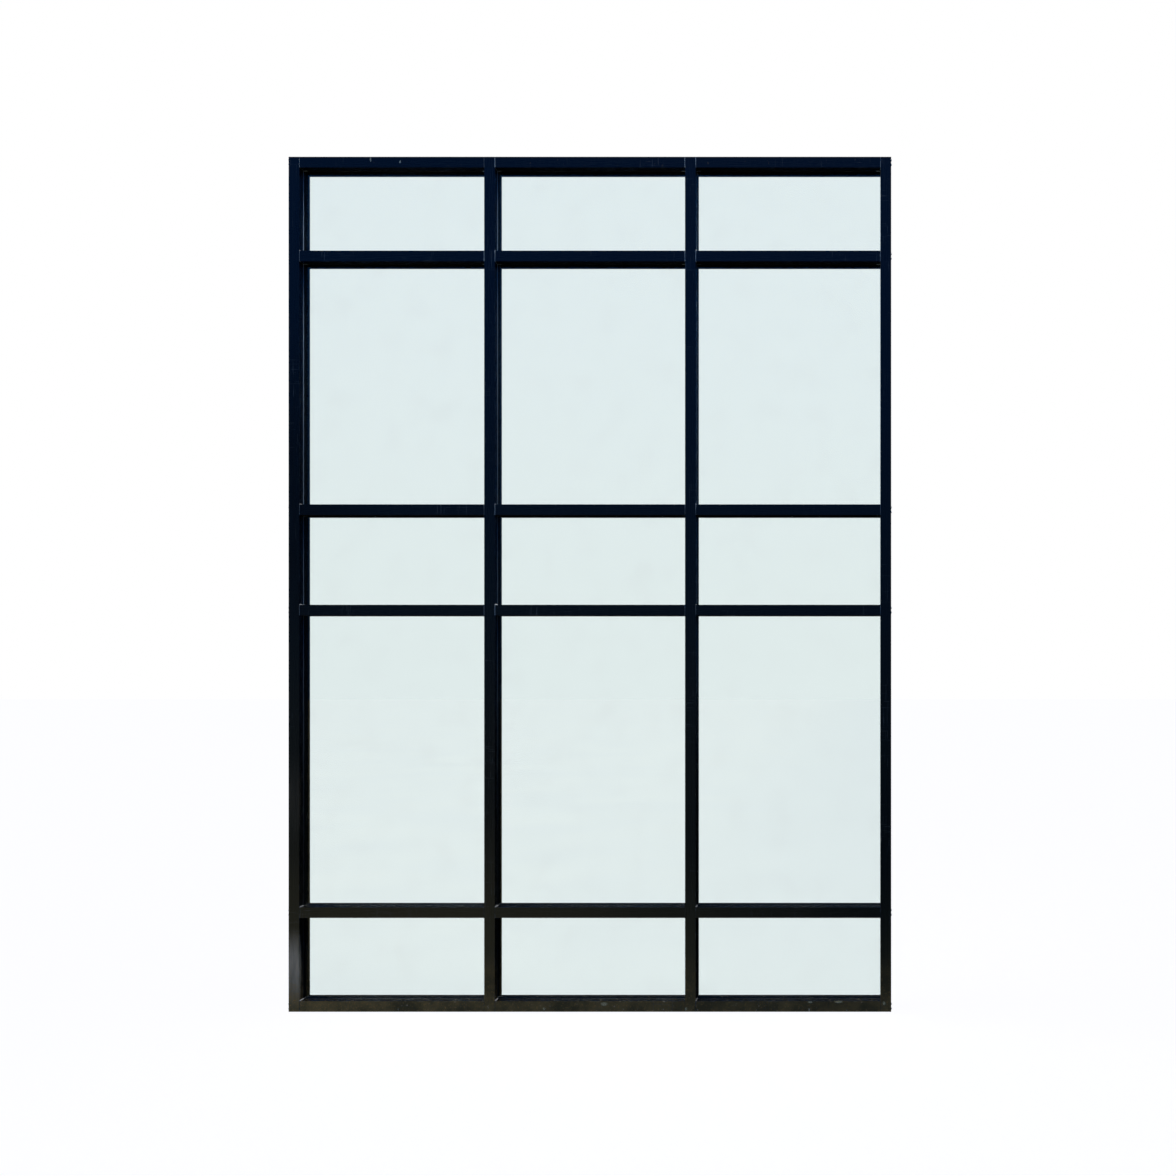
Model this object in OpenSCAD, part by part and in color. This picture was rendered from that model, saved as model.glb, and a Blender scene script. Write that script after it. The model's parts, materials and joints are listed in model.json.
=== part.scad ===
// Aluminium window wall: four full-height uprights, six rows of rails between them and
// fifteen fixed insulated glass units, centre-glazed in the frame.
// X runs along the wall, the outer face looks along -Y and Z is up from the ground.
// The origin is on the underside of the sill, at the middle of the wall.

/* [Layout] */
// Width of an end bay, from the wall's outer edge to the mullion's centre-line
end_bay_w = 965.2; // [700:0.1:1500]
// Width of the centre bay, between the mullions' centre-lines
centre_bay_w = 965.2; // [700:0.1:1500]
// Height of the kick row, from the ground to the lower rail's centre-line
kick_row_h = 476.25; // [350:0.05:900]
// Height of the lower row, between rail centre-lines
lower_row_h = 1454.15; // [900:0.05:2000]
// Height of the middle row, between rail centre-lines
middle_row_h = 482.6; // [350:0.05:900]
// Height of the upper row, between rail centre-lines
upper_row_h = 1219.2; // [900:0.05:2000]
// Height of the top row, from the top rail's centre-line to the wall's top edge
top_row_h = 476.25; // [350:0.05:900]

/* [Frame section] */
// Width of each frame member as seen from the front
face_w = 50.8; // [48:0.1:70]
// Depth of each frame member through the wall
frame_d = 114.3; // [105:0.1:150]
// Wall thickness of the extrusions
wall = 2.4; // [1.8:0.1:3]
// Depth of the glazing pocket behind the sight line
pocket_d = 15.875; // [14:0.005:17]

/* [Gasket races] */
// Width of the groove that a gasket foot presses into
race_w = 3.2; // [2.6:0.1:4]
// Depth of that groove
race_d = 3.2; // [2.6:0.1:4]
// Metal left round the groove
race_wall = 1.6; // [1.2:0.1:2]

/* [Screw splines] */
// Radius of the channel that a screw cuts its thread into
spline_r = 2.4; // [2:0.1:2.8]
// Wall round the channel
spline_wall = 1.8; // [1.5:0.1:2.2]
// Width of the slot along the channel
spline_slot = 2.2; // [1.5:0.1:3]
// Distance of a spline from the rail's centre-line
spline_off = 11; // [9:0.5:13]

/* [Glass] */
// Thickness of a whole glass unit
unit_t = 25.4; // [22:0.1:28]
// Thickness of each sheet of glass
sheet_t = 6; // [5:0.1:8]
// How far the glass reaches behind the sight line
bite = 11.1125; // [10.5:0.0125:12]
// Depth of the spacer bar that parts the two sheets, measured from the glass edge inwards
spacer_h = 8; // [6:0.5:8.5]
// Distance from the glass edge to the spacer
spacer_inset = 2; // [1:0.5:2.5]
// Length of a setting block under the glass
block_l = 101.6; // [60:0.1:150]

/* [Gaskets and joints] */
// Thickness of a gasket between the glass and the frame
gasket_t = 4.7625; // [4:0.0125:6]
// How far a gasket reaches behind the sight line
gasket_h = 7.2; // [6:0.1:8]
// How far a gasket shows past the sight line
gasket_lip = 0.8; // [0.2:0.1:1.5]
// Clearance round a gasket foot in its race
foot_play = 0.2; // [0.1:0.05:0.3]
// Thickness of the sealed joint between a rail and an upright
joint = 1.6; // [0.8:0.1:3]

/* [Glass stops] */
// Wall thickness of the snap-in glass stops
stop_wall = 1.8; // [1.5:0.1:2.2]
// Clearance at each end of a glass stop
stop_play = 0.3; // [0.2:0.1:1]
// Width of the ribs that hold a stop in place
rib_w = 1.6; // [1.2:0.1:2]
// Height of those ribs
rib_h = 3.2; // [2:0.1:4]
// Clearance between a rib and the leg of the stop
rib_play = 0.2; // [0.1:0.05:0.4]

/* [Anchor holes] */
// Radius of the anchor holes
anchor_r = 5.5; // [4:0.1:7]
// Distance of a sill or header hole from the upright beside it
anchor_inset = 127; // [80:0.1:200]
// Distance of a jamb hole from a rail's centre-line in the lower and the upper row
jamb_anchor_inset = 304.8; // [200:0.1:400]

/* [Hidden] */
$fn = 24;

// Columns and rows are counted from the left and from the ground
left = 0;
centre = 1;
right = 2;
kick_row = 0;
lower_row = 1;
middle_row = 2;
upper_row = 3;
top_row = 4;
sill_level = 0;
lower_level = 1;
middle_level = 2;
upper_level = 3;
top_level = 4;
header_level = 5;
columns = [left : right];
rows = [kick_row : top_row];
levels = [sill_level : header_level];

half_w = centre_bay_w / 2 + end_bay_w;
total_h = kick_row_h + lower_row_h + middle_row_h + upper_row_h + top_row_h;
mullion_x = centre_bay_w / 2;
jamb_x = half_w - face_w / 2;
lower_z = kick_row_h;
middle_z = lower_z + lower_row_h;
upper_z = middle_z + middle_row_h;
top_z = upper_z + upper_row_h;
rail_z = [face_w / 2, lower_z, middle_z, upper_z, top_z, total_h - face_w / 2];

pocket_w = unit_t + 2 * gasket_t;
pocket_floor = face_w / 2 - pocket_d;
race_q = face_w / 2 - wall - race_w;
spline_out = spline_r + spline_wall;
// The boss of a spline sinks into the wall that carries it by this much
spline_sink = 0.6;
spline_p = frame_d / 2 - wall - spline_out + spline_sink;
edge_gap = pocket_d - bite;
// Cuts run past the faces they open by this much
over = 1;
frame_colour = [0.09, 0.1, 0.12];
rubber_colour = [0.16, 0.19, 0.22];
glass_colour = [0.85, 0.93, 0.93, 0.4];
seal_colour = [0.45, 0.5, 0.55];

// Clear opening of a column between uprights and of a row between rails
function bay_lo(c) =
  c == left ? -half_w + face_w : (c == centre ? -mullion_x : mullion_x) + face_w / 2;
function bay_hi(c) =
  c == right ? half_w - face_w : (c == centre ? mullion_x : -mullion_x) - face_w / 2;
function bay_mid(c) = (bay_lo(c) + bay_hi(c)) / 2;
function row_lo(r) = rail_z[r] + face_w / 2;
function row_hi(r) = rail_z[r + 1] - face_w / 2;

// Sections are drawn with the depth through the wall along x, the rear to the right, and
// the face width along y. An inset of one wall gives the hollow inside the extrusion.
module section_outline(low_pocket, high_pocket, shoulder, inset) {
  pocket_half = pocket_w / 2 + inset;
  floor_q = pocket_floor - inset;
  difference() {
    square([frame_d - 2 * inset, face_w - 2 * inset], center = true);
    if (low_pocket)
      translate([-pocket_half, -floor_q - face_w])
        square([2 * pocket_half, face_w]);
    if (high_pocket)
      translate([-pocket_half, floor_q])
        square([shoulder ? frame_d : 2 * pocket_half, face_w]);
  }
}

// Metal round one gasket race, and the race itself, for the pocket wall on the high rear side
module race_boss() {
  translate([pocket_w / 2, race_q - race_wall])
    square([race_d + race_wall, face_w / 2 - race_q + race_wall]);
}

module race_slot() {
  translate([pocket_w / 2 - over, race_q])
    square([race_d + over, race_w]);
}

module on_low_side() {
  mirror([0, 1, 0]) children();
}

module on_front_side() {
  mirror([1, 0, 0]) children();
}

module at_races(low_pocket, high_pocket, shoulder) {
  if (low_pocket) {
    on_low_side() children();
    on_low_side() on_front_side() children();
  }
  if (high_pocket) {
    on_front_side() children();
    if (!shoulder) children();
  }
}

// A screw spline stands on the wall to its right and opens to the left
module spline_boss() {
  circle(r = spline_out);
}

module spline_channel() {
  circle(r = spline_r);
  translate([-spline_out - over, -spline_slot / 2])
    square([spline_out + over, spline_slot]);
}

module at_splines() {
  for (side = [-1, 1])
    translate([-spline_p, side * spline_off]) rotate(180) children();
  translate([spline_p, -spline_off]) children();
}

// Ribs on the rear shoulder that keep a glass stop from sliding
module shoulder_ribs() {
  first_p = pocket_w / 2 + stop_wall + rib_play;
  last_p = frame_d / 2 - stop_wall - rib_play - rib_w;
  for (p = [first_p, last_p])
    translate([p, pocket_floor - over])
      square([rib_w, rib_h + over]);
}

module member_section(low_pocket, high_pocket, shoulder, splines) {
  difference() {
    union() {
      difference() {
        section_outline(low_pocket, high_pocket, shoulder, 0);
        section_outline(low_pocket, high_pocket, shoulder, wall);
      }
      intersection() {
        section_outline(low_pocket, high_pocket, shoulder, 0);
        union() {
          at_races(low_pocket, high_pocket, shoulder) race_boss();
          if (splines) at_splines() spline_boss();
        }
      }
      if (shoulder) shoulder_ribs();
    }
    at_races(low_pocket, high_pocket, shoulder) race_slot();
    if (splines) at_splines() spline_channel();
  }
}

module stop_section() {
  tube_d = (frame_d - pocket_w) / 2;
  difference() {
    union() {
      translate([pocket_w / 2, pocket_floor])
        difference() {
          square([tube_d, pocket_d]);
          translate([stop_wall, -over])
            square([tube_d - 2 * stop_wall, pocket_d - stop_wall + over]);
        }
      race_boss();
    }
    race_slot();
  }
}

// Lays a section along X between two places, at a rail's height
module along_wall(from_x, to_x, z) {
  translate([from_x, 0, z])
    rotate([90, 0, 90])
      linear_extrude(to_x - from_x) children();
}

// Stands a section upright, with its high side to the left
module along_height(x) {
  translate([x, 0, 0])
    linear_extrude(total_h)
      rotate(90) children();
}

// A block over one pane's opening, grown on its four sides, between two depths
module pane_block(c, r, grow, from_y, to_y) {
  translate([bay_lo(c) - grow, from_y, row_lo(r) - grow])
    cube([
      bay_hi(c) - bay_lo(c) + 2 * grow,
      to_y - from_y,
      row_hi(r) - row_lo(r) + 2 * grow
    ]);
}

module pane_ring(c, r, outer_grow, inner_grow, from_y, to_y) {
  difference() {
    pane_block(c, r, outer_grow, from_y, to_y);
    pane_block(c, r, inner_grow, from_y - over, to_y + over);
  }
}

module jamb_anchor_holes(x) {
  heights = [
    kick_row_h / 2,
    lower_z + jamb_anchor_inset,
    middle_z - jamb_anchor_inset,
    (middle_z + upper_z) / 2,
    upper_z + jamb_anchor_inset,
    top_z - jamb_anchor_inset,
    top_z + top_row_h / 2
  ];
  for (z = heights)
    translate([x, 0, z])
      rotate([0, 90, 0])
        cylinder(r = anchor_r, h = face_w + 2 * over, center = true);
}

module rail_anchor_holes(c, level) {
  for (x = [bay_lo(c) + anchor_inset, bay_hi(c) - anchor_inset])
    translate([x, 0, rail_z[level]])
      cylinder(r = anchor_r, h = face_w + 2 * over, center = true);
}

module jamb(side) {
  color(frame_colour)
    difference() {
      along_height(side * jamb_x) member_section(side < 0, side > 0, false, false);
      jamb_anchor_holes(side * jamb_x);
    }
}

module mullion(side) {
  color(frame_colour)
    along_height(side * mullion_x) member_section(true, true, false, false);
}

module rail(c, level) {
  glass_below = level > sill_level;
  glass_above = level < header_level;
  color(frame_colour)
    difference() {
      along_wall(bay_lo(c) + joint, bay_hi(c) - joint, rail_z[level])
        member_section(glass_below, glass_above, glass_above, true);
      if (level == sill_level || level == header_level) rail_anchor_holes(c, level);
    }
}

module glass_unit(c, r) {
  color(glass_colour) {
    pane_block(c, r, bite, -unit_t / 2, -unit_t / 2 + sheet_t);
    pane_block(c, r, bite, unit_t / 2 - sheet_t, unit_t / 2);
  }
}

// The front gasket of one pane: a ring against the glass and a foot in each race
module front_gasket(c, r) {
  front_y = -pocket_w / 2;
  foot_y = front_y - race_d + foot_play;
  foot_near = wall + foot_play;
  foot_w = race_w - 2 * foot_play;
  pane_ring(c, r, gasket_h, -gasket_lip, front_y, front_y + gasket_t);
  for (z = [row_lo(r) - foot_near - foot_w, row_hi(r) + foot_near])
    translate([bay_lo(c) + joint, foot_y, z])
      cube([bay_hi(c) - bay_lo(c) - 2 * joint, front_y - foot_y + gasket_t / 2, foot_w]);
  for (x = [bay_lo(c) - foot_near - foot_w, bay_hi(c) + foot_near])
    translate([x, foot_y, row_lo(r)])
      cube([foot_w, front_y - foot_y + gasket_t / 2, row_hi(r) - row_lo(r)]);
}

module front_gaskets() {
  color(rubber_colour)
    for (c = columns, r = rows) front_gasket(c, r);
}

module rear_gaskets() {
  color(rubber_colour)
    mirror([0, 1, 0])
      for (c = columns, r = rows) front_gasket(c, r);
}

module glass_spacers() {
  outer = bite - spacer_inset;
  inner_y = unit_t / 2 - sheet_t;
  color("silver")
    for (c = columns, r = rows) pane_ring(c, r, outer, outer - spacer_h, -inner_y, inner_y);
}

// Two blocks under each glass unit, at its quarter points
module setting_blocks() {
  color(rubber_colour)
    for (c = columns, r = rows, side = [-1, 1]) {
      glass_w = bay_hi(c) - bay_lo(c) + 2 * bite;
      translate([
        bay_mid(c) + side * glass_w / 4 - block_l / 2,
        -unit_t / 2,
        row_lo(r) - pocket_d
      ])
        cube([block_l, unit_t, edge_gap]);
    }
}

// One stop behind the foot of each glass unit, snapped onto the rail's rear shoulder
module glass_stops() {
  color(frame_colour)
    for (c = columns, r = rows)
      along_wall(bay_lo(c) + stop_play, bay_hi(c) - stop_play, rail_z[r]) stop_section();
}

// The sealant in one joint: a thin ring between the rail's tube and the upright
module seal_ring(from_p, to_p, low_q, high_q) {
  difference() {
    translate([from_p, low_q]) square([to_p - from_p, high_q - low_q]);
    translate([from_p + wall, low_q + wall])
      square([to_p - from_p - 2 * wall, high_q - low_q - 2 * wall]);
  }
}

module joint_seals() {
  color(seal_colour)
    for (c = columns, level = levels, from_x = [bay_lo(c), bay_hi(c) - joint])
      along_wall(from_x, from_x + joint, rail_z[level]) {
        seal_ring(-frame_d / 2, -pocket_w / 2, -face_w / 2, face_w / 2);
        seal_ring(
          pocket_w / 2,
          frame_d / 2,
          -face_w / 2,
          level < header_level ? pocket_floor : face_w / 2
        );
      }
}

jamb(-1);  // left_jamb
mullion(-1);  // left_mullion
mullion(1);  // right_mullion
jamb(1);  // right_jamb
rail(left, sill_level);  // sill_left
rail(centre, sill_level);  // sill_centre
rail(right, sill_level);  // sill_right
rail(left, lower_level);  // lower_rail_left
rail(centre, lower_level);  // lower_rail_centre
rail(right, lower_level);  // lower_rail_right
rail(left, middle_level);  // middle_rail_left
rail(centre, middle_level);  // middle_rail_centre
rail(right, middle_level);  // middle_rail_right
rail(left, upper_level);  // upper_rail_left
rail(centre, upper_level);  // upper_rail_centre
rail(right, upper_level);  // upper_rail_right
rail(left, top_level);  // top_rail_left
rail(centre, top_level);  // top_rail_centre
rail(right, top_level);  // top_rail_right
rail(left, header_level);  // header_left
rail(centre, header_level);  // header_centre
rail(right, header_level);  // header_right
glass_unit(left, kick_row);  // kick_glass_left
glass_unit(centre, kick_row);  // kick_glass_centre
glass_unit(right, kick_row);  // kick_glass_right
glass_unit(left, lower_row);  // lower_glass_left
glass_unit(centre, lower_row);  // lower_glass_centre
glass_unit(right, lower_row);  // lower_glass_right
glass_unit(left, middle_row);  // middle_glass_left
glass_unit(centre, middle_row);  // middle_glass_centre
glass_unit(right, middle_row);  // middle_glass_right
glass_unit(left, upper_row);  // upper_glass_left
glass_unit(centre, upper_row);  // upper_glass_centre
glass_unit(right, upper_row);  // upper_glass_right
glass_unit(left, top_row);  // top_glass_left
glass_unit(centre, top_row);  // top_glass_centre
glass_unit(right, top_row);  // top_glass_right
front_gaskets();
rear_gaskets();
glass_spacers();
setting_blocks();
glass_stops();
joint_seals();
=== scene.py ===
"""Looks for an aluminium window wall: dark anodised frame, tinted glass, gaskets, sealant and screws."""

import json
import math

import bpy
from bpy.props import FloatProperty, FloatVectorProperty, IntProperty, PointerProperty
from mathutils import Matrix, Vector

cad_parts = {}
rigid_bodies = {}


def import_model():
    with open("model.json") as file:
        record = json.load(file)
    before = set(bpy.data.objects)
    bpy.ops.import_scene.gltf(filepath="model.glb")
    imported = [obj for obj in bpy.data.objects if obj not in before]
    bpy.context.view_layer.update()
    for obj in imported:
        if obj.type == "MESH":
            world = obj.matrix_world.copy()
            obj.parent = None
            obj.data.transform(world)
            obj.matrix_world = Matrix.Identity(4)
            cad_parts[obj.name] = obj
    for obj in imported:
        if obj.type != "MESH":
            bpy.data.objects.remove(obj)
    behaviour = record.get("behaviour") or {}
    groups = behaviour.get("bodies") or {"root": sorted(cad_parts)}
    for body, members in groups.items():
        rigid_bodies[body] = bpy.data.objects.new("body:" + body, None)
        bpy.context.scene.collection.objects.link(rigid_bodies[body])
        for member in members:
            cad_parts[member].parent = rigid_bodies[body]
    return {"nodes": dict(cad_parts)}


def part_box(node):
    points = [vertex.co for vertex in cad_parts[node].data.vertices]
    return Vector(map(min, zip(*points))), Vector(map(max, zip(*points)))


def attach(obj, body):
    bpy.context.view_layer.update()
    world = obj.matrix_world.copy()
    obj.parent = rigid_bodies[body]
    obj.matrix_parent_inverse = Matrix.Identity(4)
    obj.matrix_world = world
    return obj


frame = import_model()

bl_info = {
    "name": "Window wall looks",
    "version": (1, 0, 0),
    "blender": (4, 5, 0),
    "location": "3D View > Sidebar > Window Wall",
    "description": "Finishes, small parts and stage for an aluminium window wall",
    "category": "Object",
}

ROWS = ("kick", "lower", "middle", "upper", "top")
COLUMNS = ("left", "centre", "right")
LEVELS = ("sill", "lower_rail", "middle_rail", "upper_rail", "top_rail", "header")
UPRIGHTS = ("left_jamb", "left_mullion", "right_mullion", "right_jamb")
RAILS = tuple(f"{level}_{column}" for level in LEVELS for column in COLUMNS)
PANES = tuple(f"{row}_glass_{column}" for row in ROWS for column in COLUMNS)

# Height, spread and strength of the painted highlights on the left jamb's face.
PAINTED_HIGHLIGHTS = ((0.2, 0.22, 0.95), (1.02, 0.25, 0.05))
# Place (across, up) and half size (across, up) of the marks struck in the front faces.
MARKS = (
    (0.068, 0.037, 0.019, 0.01),
    (1.058, 0.046, 0.014, 0.006),
    (1.195, 0.047, 0.022, 0.006),
    (1.413, 0.041, 0.008, 0.011),
    (-0.22, 0.014, 0.007, 0.008),
    (0.462, 0.014, 0.007, 0.009),
    (-1.054, 4.096, 0.004, 0.013),
    (-0.912, 4.084, 0.006, 0.008),
)
# Height of the dark patch of painted shade on the left jamb, and its spread across, deep and up.
PAINTED_SHADE_HEIGHT, PAINTED_SHADE_SPREAD = 2.5, (0.5, 0.2, 1.0)
# Half the width of a member's face, and the reach of the painted highlight on the rubber that lies along the
# uprights.
HALF_FACE, HIGHLIGHT_REACH = 0.025, 0.05
# Distance of the screw splines from the wall's middle plane, and from the middle of a rail's height.
SPLINE_DEPTH, SPLINE_RISE = 0.0511, 0.011
# Name, place, side in metres, power in watts and the pieces that it lights.
LAMPS = (
    ("left_softbox", (-6.5, -0.5, 3.5), 2.5, 5.0, "wall_pieces"),
    ("right_softbox", (7.5, 0.8, 6.5), 3.0, 90.0, "wall_pieces"),
    ("rear_softbox", (-8.0, 2.3, 5.2), 2.4, 760.0, "wall_pieces"),
    ("top_softbox", (0.0, -1.1, 10.5), 3.0, 580.0, "wall_pieces"),
    ("bead_softbox", (4.0, -4.0, 8.0), 2.0, 700.0, "corner_beads"),
)

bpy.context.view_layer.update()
WALL_LOW, WALL_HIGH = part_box("left_jamb")[0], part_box("right_jamb")[1]


def colour(name, description, default):
    """A colour property with four channels."""
    return FloatVectorProperty(
        name=name, description=description, subtype="COLOR", size=4, min=0.0, max=1.0, default=(*default, 1.0)
    )


def length(name, description, default):
    """A length property in metres."""
    return FloatProperty(
        name=name, description=description, unit="LENGTH", min=0.0, default=default, precision=5
    )


def amount(name, description, default):
    """A plain number property."""
    return FloatProperty(name=name, description=description, min=0.0, default=default, precision=4)


class FrameFinish(bpy.types.PropertyGroup):
    """Colours and wear of the anodised frame, with the painted reflection, shade and highlights on it."""

    # Painted reflection: the head, middle and foot colours run from navy, for sky reflected in the near-black
    # finish, down to brown, for ground reflected near the foot, where dust adds to the brown.
    head_colour: colour("Head colour", "Frame colour near the top of the wall", (0.0003, 0.0046, 0.0168))
    middle_colour: colour("Middle colour", "Frame colour a third of the way up", (0.004, 0.0095, 0.0105))
    foot_colour: colour("Foot colour", "Frame colour near the ground", (0.078, 0.062, 0.028))
    bare_colour: colour("Bare colour", "Aluminium where the finish is rubbed through", (0.32, 0.36, 0.37))
    dust_colour: colour("Dust colour", "Dust that settles on ledges and near the ground", (0.52, 0.29, 0.085))
    chip_colour: colour("Chip colour", "Dull metal and grit in the chips", (0.62, 0.46, 0.27))
    mark_colour: colour("Mark colour", "Bright metal in the marks struck in the header", (0.6, 0.7, 0.62))
    grazed_colour: colour("Grazed colour", "Bright metal in the marks near the ground", (1.0, 0.82, 0.44))
    # Painted shade: the near-black laid low on the reveals and undersides, and in the dark patch on the left
    # jamb.
    shade_colour: colour("Shade colour", "Painted shade, low in the reveals and undersides", (0.0006, 0.0009, 0.0012))
    # Painted highlight: the pale colour of soft patches on the left jamb's face that stand in for a blurred
    # reflection.
    scuff_colour: colour("Scuff colour", "Painted highlight: pale patches on the left jamb", (0.72, 0.58, 0.4))
    foot_height: length("Foot height", "Height below which the foot colour is full", 0.05)
    middle_height: length("Middle height", "Height of the middle colour", 1.1)
    head_height: length("Head height", "Height above which the head colour is full", 3.9)
    roughness: amount("Roughness", "Roughness of the anodised face", 0.26)
    grain_scale: amount("Grain scale", "Frequency of the fine surface grain", 900.0)
    wear_radius: length("Wear radius", "Width of the worn edge", 0.0018)
    runs_share: amount("Runs share", "How much the rain runs show", 0.006)
    scratches_share: amount("Scratches share", "How much the scratches show", 0.18)
    # Painted shade: how much the dark patch on the left jamb shows.
    painted_shade_share: amount("Painted shade share", "How much the painted shade patch shows", 0.95)


class GlassFinish(bpy.types.PropertyGroup):
    """Tint of the glass."""

    tint: colour("Tint", "Colour that glass leaves in light near the ground", (0.931, 0.9832, 0.9727))
    head_tint: colour("Head tint", "Colour that glass leaves in light at the head", (0.935, 0.981, 0.9612))
    film: colour("Film", "Faint film of dirt", (0.6, 0.6, 0.6))
    film_share: amount("Film share", "How much the film shows", 0.04)
    film_scale: amount("Film scale", "Frequency of the film", 6.0)
    spacer: colour("Spacer", "Blackened bar between the sheets", (0.012, 0.013, 0.015))


class SealFinish(bpy.types.PropertyGroup):
    """Colours of gaskets, sealant and blocks."""

    # Painted highlight: the pale blue-grey of the gasket line beside the uprights, strongest near the top.
    gasket_highlight: colour("Gasket highlight", "Gasket colour near the top of the wall", (0.48, 0.6, 0.72))
    gasket_foot: colour("Gasket foot", "Gasket colour near the ground", (0.012, 0.013, 0.015))
    rubber: colour("Rubber", "Rubber that the sun hasn't bleached", (0.006, 0.006, 0.007))
    sealant: colour("Sealant", "Cured sealant in the joints", (0.42, 0.52, 0.58))
    smear: colour("Smear", "Sealant squeezed out at the inner corners", (0.95, 0.95, 0.92))
    rubber_dust: colour("Rubber dust", "Dust on the rubber", (0.15, 0.13, 0.1))
    joint_dirt: colour("Joint dirt", "Dirt in the lowest joints", (0.01, 0.01, 0.009))
    bead_radius: length("Bead radius", "Radius of the corner bead of sealant", 0.0034)


class ScrewSizes(bpy.types.PropertyGroup):
    """Sizes of the pan-head screws in the jambs."""

    head_radius: length("Head radius", "Radius of a screw head", 0.0052)
    head_height: length("Head height", "Height of a screw head", 0.0026)
    washer_radius: length("Washer radius", "Radius of the washer face", 0.0066)
    recess_width: length("Recess width", "Width of a slot of the cross recess", 0.0013)
    steel: colour("Steel", "Stainless steel of the screws", (0.45, 0.46, 0.47))


class GritSettings(bpy.types.PropertyGroup):
    """Amount, size and colours of the grit on the ledges."""

    density: amount("Density", "Stones on a square metre", 900.0)
    largest: length("Largest", "Radius of the largest stone", 0.0022)
    edge: length("Edge", "Strip along the front edge that stays free of grit", 0.002)
    dark: colour("Dark", "Darkest stone", (0.16, 0.13, 0.09))
    light: colour("Light", "Lightest stone", (0.4, 0.37, 0.32))


class StageSettings(bpy.types.PropertyGroup):
    """Camera and light, from the places of the wall in a square picture."""

    picture_side: amount("Picture side", "Side of the picture in pixels", 1176.0)
    left_column: amount("Left column", "Pixel column of the wall's left edge", 288.6)
    right_column: amount("Right column", "Pixel column of the wall's right edge", 891.2)
    foot_row: amount("Foot row", "Pixel row of the wall's lower edge", 1011.8)
    eye_column: amount("Eye column", "Pixel column straight ahead of the camera", 864.0)
    eye_row: amount("Eye row", "Pixel row straight ahead of the camera", 670.0)
    eye_distance: length("Eye distance", "Distance from the camera to the wall's outer face", 5.6)
    sensor_width: amount("Sensor width", "Camera sensor width in millimetres", 36.0)
    floor_reach: length("Floor reach", "Half the side of the floor", 60.0)
    sky_colour: colour("Sky colour", "Light that falls on the front from above", (0.02, 0.16, 0.52))
    horizon_colour: colour("Horizon colour", "Light on the front from straight ahead", (0.03, 0.08, 0.17))
    zenith_colour: colour("Zenith colour", "Light that falls straight down", (0.3, 0.36, 0.42))
    back_colour: colour("Back colour", "Light that falls on the back", (0.004, 0.005, 0.007))
    bounce_colour: colour("Bounce colour", "Light that the floor throws up at the wall", (0.32, 0.28, 0.17))
    floor_colour: colour("Floor colour", "Matt floor, on which shadows fall", (0.2, 0.2, 0.2))
    floor_glow: colour("Floor glow", "Light that makes the floor pale to the eye", (0.968, 0.962, 0.972))
    seed: IntProperty(name="Seed", description="Seed of everything that is scattered", default=7)


def new_node(tree, kind, inputs=None, **settings):
    """Adds a node, sets it and links or fills its inputs."""
    node = tree.nodes.new(kind)
    for key, value in settings.items():
        setattr(node, key, value)
    for key, value in (inputs or {}).items():
        if isinstance(value, bpy.types.NodeSocket):
            tree.links.new(value, node.inputs[key])
        else:
            node.inputs[key].default_value = value
    return node


def maths(tree, operation, first, second=0.0, clamp=False):
    """A Math node's value."""
    node = new_node(tree, "ShaderNodeMath", {0: first, 1: second}, operation=operation, use_clamp=clamp)
    return node.outputs[0]


def mapped(tree, value, low, high, to_low=0.0, to_high=1.0):
    """A value carried from one range to another, smoothly and clamped."""
    node = new_node(
        tree,
        "ShaderNodeMapRange",
        {"Value": value, "From Min": low, "From Max": high, "To Min": to_low, "To Max": to_high},
        interpolation_type="SMOOTHSTEP",
    )
    return node.outputs["Result"]


def blended(tree, factor, first, second):
    """A mix of two colours."""
    node = new_node(tree, "ShaderNodeMix", {0: factor, 6: first, 7: second}, data_type="RGBA")
    return node.outputs[2]


def laid_over(tree, tone, over, mask, share):
    """A tone with a colour laid over it by a share of a mask."""
    return blended(tree, maths(tree, "MULTIPLY", mask, share), tone, over)


def vector_maths(tree, operation, first, second=(0.0, 0.0, 0.0), output="Vector"):
    """A Vector Math node's result."""
    return new_node(tree, "ShaderNodeVectorMath", {0: first, 1: second}, operation=operation).outputs[output]


def parts_of(tree, vector):
    """The three coordinates of a vector."""
    return new_node(tree, "ShaderNodeSeparateXYZ", {0: vector}).outputs


def height_of(tree):
    """The height above the ground."""
    return parts_of(tree, object_place(tree))["Z"]


def normal_part(tree, letter):
    """One coordinate of the surface's normal."""
    return parts_of(tree, new_node(tree, "ShaderNodeNewGeometry").outputs["Normal"])[letter]


def shaded(base, share):
    """A colour made darker or brighter by a share."""
    return [min(1.0, channel * share) for channel in base[:3]] + [1.0]


def object_place(tree, scale=(1.0, 1.0, 1.0)):
    """Object coordinates, stretched by a scale."""
    place = new_node(tree, "ShaderNodeTexCoord").outputs["Object"]
    return new_node(tree, "ShaderNodeMapping", {"Vector": place, "Scale": scale}).outputs["Vector"]


def noise(tree, place, scale, detail=3.0, roughness=0.55):
    """A noise value between 0 and 1."""
    inputs = {"Vector": place, "Scale": scale, "Detail": detail, "Roughness": roughness}
    return new_node(tree, "ShaderNodeTexNoise", inputs).outputs["Fac"]


def start_group(name, inputs, output):
    """A shader node group with inputs by name and default, its one output, and both their sockets."""
    tree = bpy.data.node_groups.new(name, "ShaderNodeTree")
    kinds = {1: "NodeSocketFloat", 3: "NodeSocketVector", 4: "NodeSocketColor"}
    for label, default in inputs.items():
        kind = kinds[len(default) if isinstance(default, tuple) else 1]
        socket = tree.interface.new_socket(name=label, in_out="INPUT", socket_type=kind)
        socket.default_value = default
    kind = kinds[4 if output == "Colour" else 1]
    tree.interface.new_socket(name=output, in_out="OUTPUT", socket_type=kind)
    return tree, tree.nodes.new("NodeGroupInput").outputs, tree.nodes.new("NodeGroupOutput").inputs


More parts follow.
